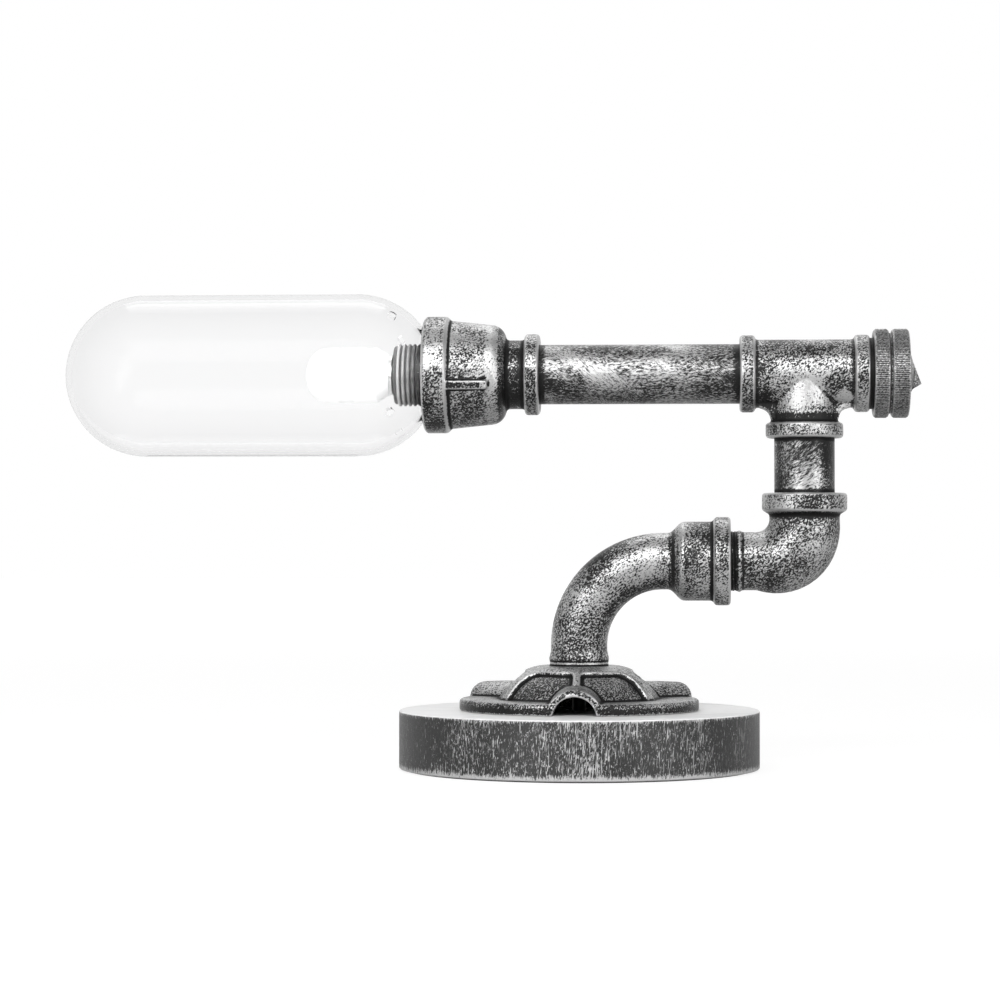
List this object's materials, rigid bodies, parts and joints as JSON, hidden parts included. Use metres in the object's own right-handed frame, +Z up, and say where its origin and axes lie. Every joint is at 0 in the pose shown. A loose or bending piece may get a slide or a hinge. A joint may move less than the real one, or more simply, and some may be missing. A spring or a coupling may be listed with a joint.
{
  "type": "table lamp",
  "caption": "Pipe-fitting table lamp: round wooden base, swivelling iron elbows, horizontal arm with a clear glass capsule shade at one end and a knurled rotary switch at the other.",
  "frame": {"origin": "centre of the base's underside, on the table, under the axis of the flange", "axes": "+X along the arm from the glass shade to the knob, +Y away from the viewer towards the cord inlet, +Z up"},
  "size_m": [0.3641, 0.1524, 0.2015],
  "materials": {
    "brushed_wood": "black stain dry-brushed with silver along the side",
    "foam": "matt foam",
    "hardboard": "bare",
    "zinc_steel": "zinc plated",
    "black_rubber": "matt",
    "flange_iron": "black paint lightly brushed with silver",
    "nylon": "satin",
    "brass": "bare",
    "black_lead": "smooth sheath",
    "blue_core": "smooth",
    "brown_core": "smooth",
    "fitting_iron": "black paint dry-brushed with silver",
    "pipe_iron": "black paint brushed with silver along its length",
    "holder_plastic": "satin",
    "black_plastic": "satin",
    "knob_metal": "dull silver, straight knurl",
    "clear_glass": "clear and polished",
    "frosted_glass": "frosted white",
    "cap_metal": "nickel plated",
    "cap_insulator": "black glass with a solder tip",
    "stem_glass": "clear",
    "filament": "bare wire"
  },
  "bodies": {
    "base": {"wooden_base": "brushed_wood", "base_pad": "foam", "bottom_cover": "hardboard", "cover_screws": "zinc_steel", "cord_grommet": "black_rubber", "floor_flange": "flange_iron", "flange_bolts": "zinc_steel", "flange_washers": "zinc_steel", "terminal_block": "nylon", "terminal_inserts": "brass", "terminal_screws": "zinc_steel", "lead_in_base": "black_lead"},
    "bend": {"street_bend": "fitting_iron", "lead_in_bend": "black_lead"},
    "riser": {"street_elbow": "fitting_iron", "riser_nipple": "pipe_iron", "lead_in_riser": "black_lead"},
    "arm": {"tee": "fitting_iron", "arm_pipe": "pipe_iron", "bell_reducer": "fitting_iron", "lead_in_tee": "black_lead", "neutral_wire": "blue_core", "line_wire": "brown_core", "switched_wire": "brown_core", "seat_plate": "zinc_steel", "stem_tube": "brass", "stem_locknut": "zinc_steel", "lampholder_body": "holder_plastic", "lampholder_shell": "brass", "lampholder_contact": "brass", "lampholder_terminals": "brass", "neck_sleeve": "black_rubber", "switch_body": "black_plastic", "switch_bushing": "brass", "switch_nut": "zinc_steel", "knob_collar": "knob_metal"},
    "knob": {"switch_shaft": "zinc_steel", "knob_ring": "knob_metal", "knob_pointer": "knob_metal", "knob_set_screw": "zinc_steel"},
    "shade": {"shade_glass": "clear_glass"},
    "bulb": {"bulb_glass": "frosted_glass", "bulb_cap": "cap_metal", "bulb_insulator": "cap_insulator", "bulb_stem": "stem_glass", "bulb_filament": "filament"}
  },
  "joints": [
    {"name": "flange_swivel", "type": "hinge", "parent": "base", "child": "bend", "pos_m": [0, 0, 0.038], "axis": [0, 0, 1], "range_deg": [-60, 60]},
    {"name": "elbow_swivel", "type": "hinge", "parent": "bend", "child": "riser", "pos_m": [0.058, 0, 0.0879], "axis": [1, 0, 0], "range_deg": [-20, 20]},
    {"name": "arm_swivel", "type": "hinge", "parent": "riser", "child": "arm", "pos_m": [0.0951, 0, 0.146], "axis": [0, 0, 1], "range_deg": [-45, 45]},
    {"name": "knob_turn", "type": "hinge", "parent": "arm", "child": "knob", "pos_m": [0.13, 0, 0.167], "axis": [-1, 0, 0], "range_deg": [0, 300]},
    {"name": "shade_pull", "type": "slide", "parent": "arm", "child": "shade", "axis": [-1, 0, 0], "range_m": [0, 0.16]},
    {"name": "bulb_pull", "type": "slide", "parent": "arm", "child": "bulb", "axis": [-1, 0, 0], "range_m": [0, 0.03]}
  ]
}
